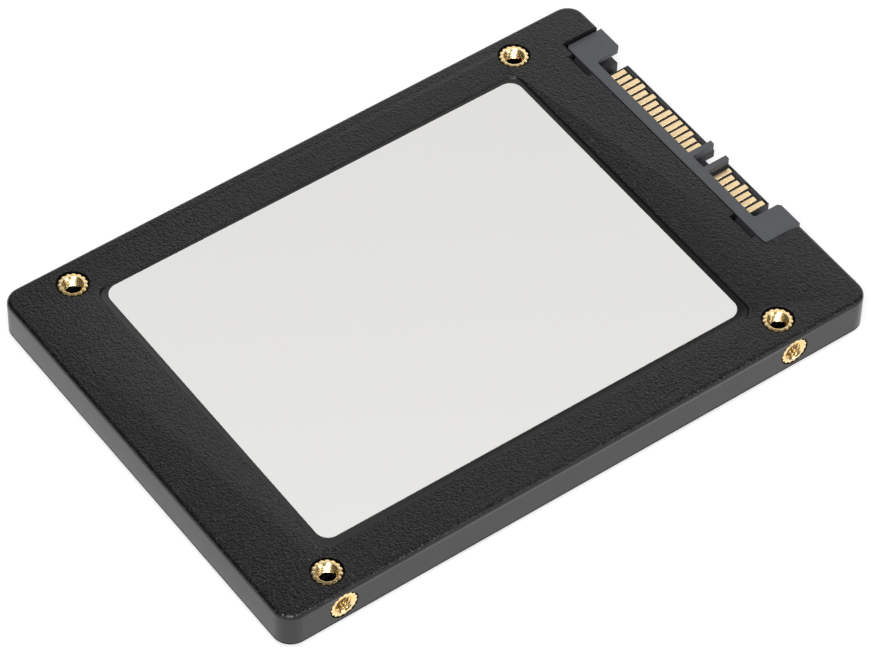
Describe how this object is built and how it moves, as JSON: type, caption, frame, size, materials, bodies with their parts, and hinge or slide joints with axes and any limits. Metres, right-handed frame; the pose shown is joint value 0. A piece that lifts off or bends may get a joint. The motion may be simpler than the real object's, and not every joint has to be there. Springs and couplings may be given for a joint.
{
  "type": "solid state drive",
  "caption": "Slim 2.5-inch class solid state drive: textured black plastic case with brass threaded inserts, blank label and a stepped edge plug for data and power.",
  "frame": {"origin": "centre of the drive's bounding box in plan, on the underside of the lid that it rests on", "axes": "+Z out of the mounting face with the label and the four face holes, +Y towards the plug end, +X towards the side nearest the plug's data contacts"},
  "size_m": [0.0698, 0.1004, 0.007],
  "materials": {
    "shell_plastic": "black moulded plastic, fine leather grain on the face, satin sides",
    "lid_plastic": "black moulded plastic, fine spark-eroded grain",
    "label_film": "blank matt off-white film label",
    "insert_brass": "bright turned and knurled brass",
    "connector_plastic": "dark slate glass-filled plastic, satin",
    "contact_plating": "pale gold plating",
    "tinned_steel": "dull tin plating",
    "board_laminate": "green solder mask over glass-fibre laminate",
    "screw_steel": "zinc-plated steel",
    "chip_mould": "black epoxy moulding compound",
    "crystal_can": "plain metal lid",
    "inductor_ferrite": "pressed metal-powder body",
    "tantalum_mould": "yellow-brown moulded body",
    "capacitor_ceramic": "tan ceramic with tinned ends",
    "resistor_ceramic": "black glazed film on white ceramic",
    "thermal_pad_silicone": "soft silicone gap filler"
  },
  "bodies": {
    "root": {"base_shell": "shell_plastic", "lid_cover": "lid_plastic", "label": "label_film", "face_inserts": "insert_brass", "side_inserts": "insert_brass", "connector_body": "connector_plastic", "power_contacts": "contact_plating", "signal_contacts": "contact_plating", "connector_hold_downs": "tinned_steel", "circuit_board": "board_laminate", "board_screws": "screw_steel", "controller_chip": "chip_mould", "cache_chip": "chip_mould", "flash_chip_1": "chip_mould", "flash_chip_2": "chip_mould", "flash_chip_3": "chip_mould", "flash_chip_4": "chip_mould", "power_regulator": "chip_mould", "boot_memory_chip": "chip_mould", "surge_diode": "chip_mould", "clock_crystal": "crystal_can", "power_inductors": "inductor_ferrite", "tantalum_capacitors": "tantalum_mould", "ceramic_capacitors": "capacitor_ceramic", "chip_resistors": "resistor_ceramic", "controller_thermal_pad": "thermal_pad_silicone", "flash_thermal_pads": "thermal_pad_silicone"}
  },
  "joints": []
}
